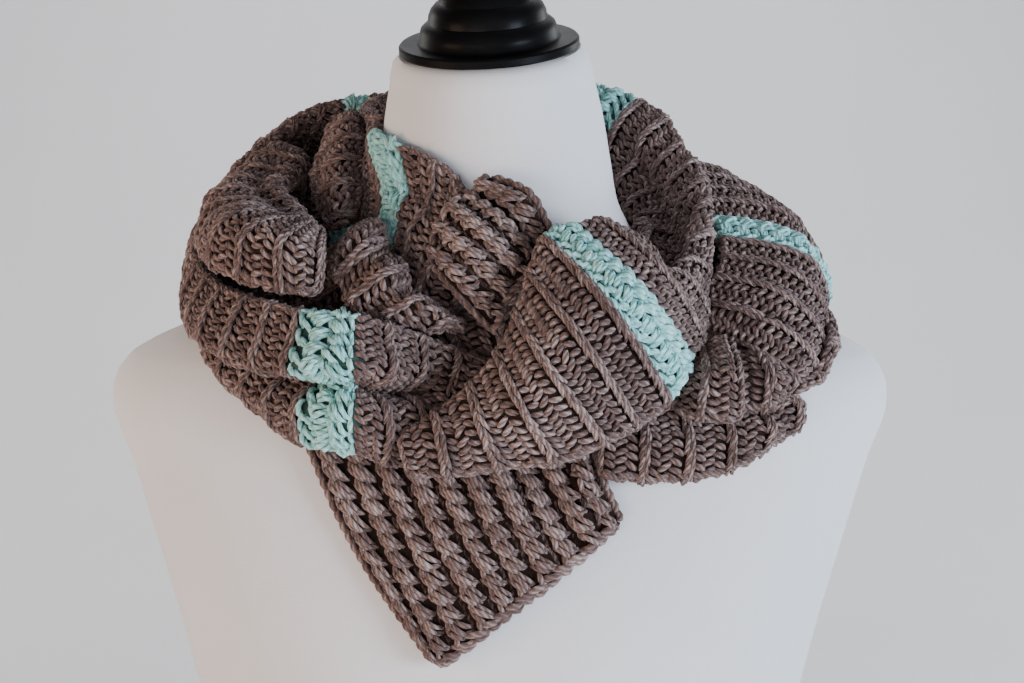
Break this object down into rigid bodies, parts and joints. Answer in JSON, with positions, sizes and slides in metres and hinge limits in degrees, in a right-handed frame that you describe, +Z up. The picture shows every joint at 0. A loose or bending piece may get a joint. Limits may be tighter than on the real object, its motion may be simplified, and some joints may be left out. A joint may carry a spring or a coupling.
{
  "type": "crochet scarf on a limbless dress form",
  "caption": "Long crochet scarf with raised rows and narrow mint bands, wound twice round the neck of a limbless dress form with a turned cap.",
  "frame": {"origin": "centre of the dress form's flat foot", "axes": "+Z is up, -Y is the side that the scarf's ends hang on, and +X is to the right of someone who faces it"},
  "size_m": [0.386, 0.2694, 0.7427],
  "materials": {
    "yarn": "matt crocheted wool yarn, mocha brown with narrow mint bands",
    "jersey": "smooth matt white jersey stretched over a padded form",
    "lacquer": "turned wood under gloss black lacquer"
  },
  "bodies": {
    "root": {"dress_form": "jersey", "neck_cap": "lacquer", "cap_knob": "lacquer", "tail_front": "yarn", "lower_flap": "yarn", "right_bulge": "yarn", "outer_right": "yarn", "back_wrap": "yarn", "left_side": "yarn", "left_roll": "yarn", "left_hidden": "yarn", "front_left": "yarn", "front_right": "yarn", "right_collar": "yarn", "nape_collar": "yarn", "left_collar": "yarn", "collar_lobe": "yarn", "centre_folds": "yarn", "throat_fold": "yarn", "tail_centre": "yarn"}
  },
  "joints": []
}
